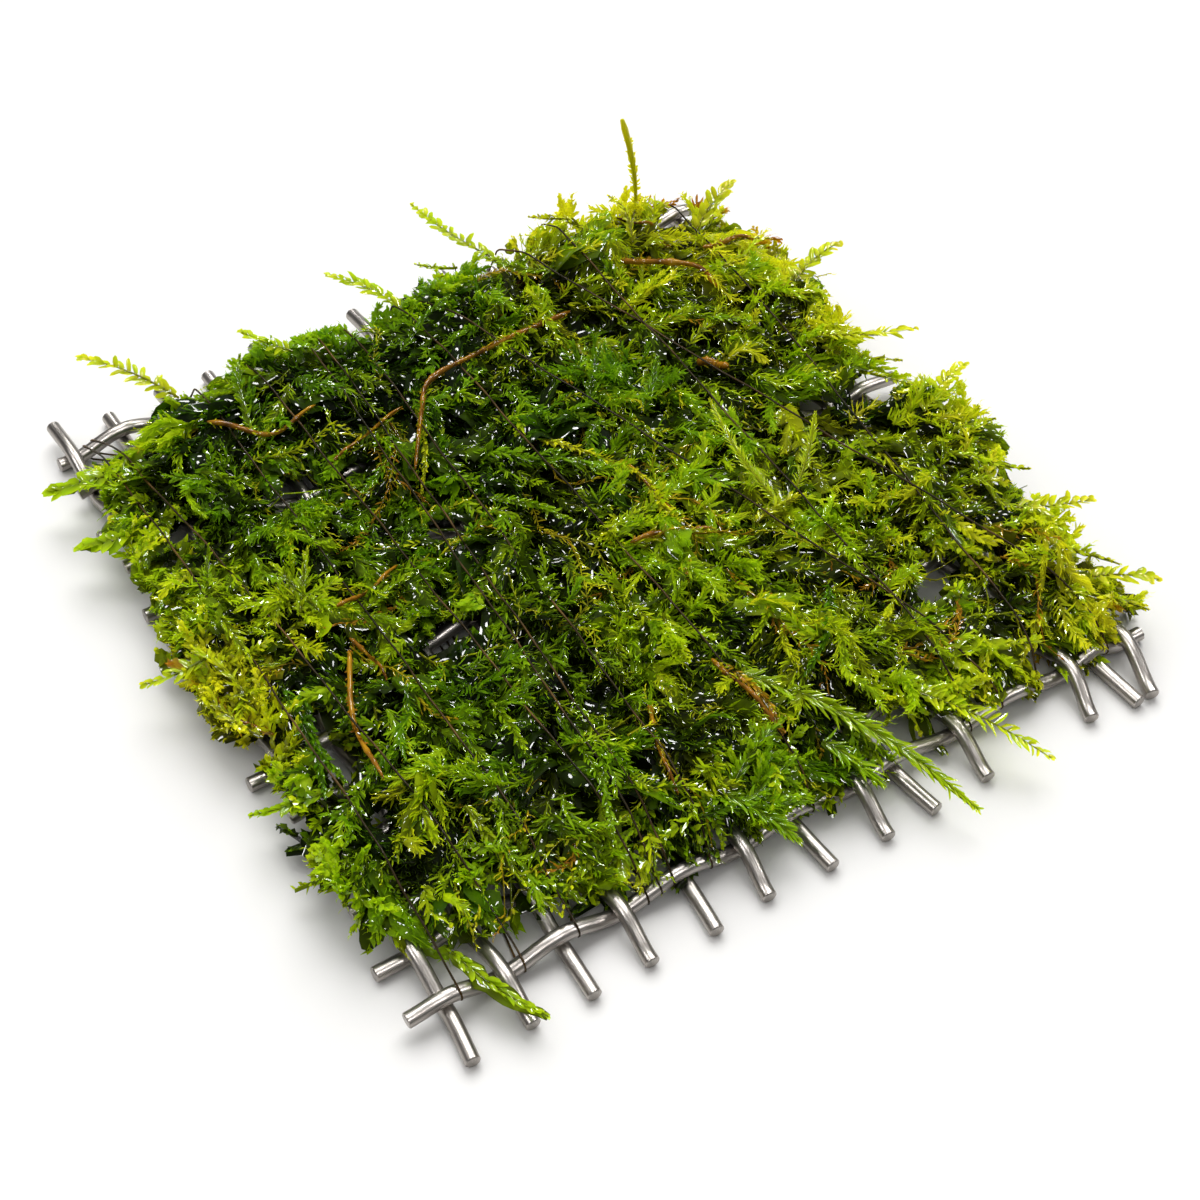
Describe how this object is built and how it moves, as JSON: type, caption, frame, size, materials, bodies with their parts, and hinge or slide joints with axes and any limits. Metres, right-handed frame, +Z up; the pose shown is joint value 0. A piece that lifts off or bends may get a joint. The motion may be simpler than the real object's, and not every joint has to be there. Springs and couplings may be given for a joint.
{
  "type": "java moss pad",
  "caption": "Square pad of java moss for an aquarium, tied with dark thread onto woven steel wire mesh, with loose sprigs at its edges.",
  "frame": {"origin": "on the resting plane, under the middle of the whole pad's box", "axes": "+Z up through the pad, +Y along the column wires from the front edge to the back edge, +X along the row wires from the left edge to the right edge"},
  "size_m": [0.0982, 0.1032, 0.0261],
  "materials": {
    "steel_wire": "smooth bright",
    "moss_green": "wet and glossy",
    "sprig_green": "wet and glossy",
    "stem_brown": "wet, smooth",
    "thread_dark": "slightly shiny"
  },
  "bodies": {
    "root": {"back_sprig_long": "sprig_green", "back_sprig_short": "sprig_green", "back_sprig_small": "sprig_green", "brown_stem_arch": "stem_brown", "brown_stem_left": "stem_brown", "brown_stem_long": "stem_brown", "brown_stem_low": "stem_brown", "column_wire_01": "steel_wire", "column_wire_02": "steel_wire", "column_wire_03": "steel_wire", "column_wire_04": "steel_wire", "column_wire_05": "steel_wire", "column_wire_06": "steel_wire", "column_wire_07": "steel_wire", "column_wire_08": "steel_wire", "column_wire_09": "steel_wire", "column_wire_10": "steel_wire", "column_wire_11": "steel_wire", "column_wire_12": "steel_wire", "column_wire_13": "steel_wire", "column_wire_14": "steel_wire", "corner_sprig": "sprig_green", "front_fern_long": "sprig_green", "front_fern_right": "sprig_green", "front_sprig_bright": "sprig_green", "front_sprig_broad": "sprig_green", "front_sprig_green": "sprig_green", "left_corner_sprig": "sprig_green", "left_sprig_back": "sprig_green", "left_sprig_low": "sprig_green", "left_sprig_middle": "sprig_green", "left_sprig_tip": "sprig_green", "moss_mat": "moss_green", "right_sprig_back": "sprig_green", "right_sprig_curl": "sprig_green", "right_sprig_front": "sprig_green", "right_sprig_low": "sprig_green", "right_sprig_middle": "sprig_green", "row_wire_01": "steel_wire", "row_wire_02": "steel_wire", "row_wire_03": "steel_wire", "row_wire_04": "steel_wire", "row_wire_05": "steel_wire", "row_wire_06": "steel_wire", "row_wire_07": "steel_wire", "row_wire_08": "steel_wire", "row_wire_09": "steel_wire", "row_wire_10": "steel_wire", "row_wire_11": "steel_wire", "row_wire_12": "steel_wire", "row_wire_13": "steel_wire", "row_wire_14": "steel_wire", "top_sprig_left": "sprig_green", "top_sprig_right": "sprig_green", "tying_thread": "thread_dark", "upright_sprig": "sprig_green"}
  },
  "joints": []
}
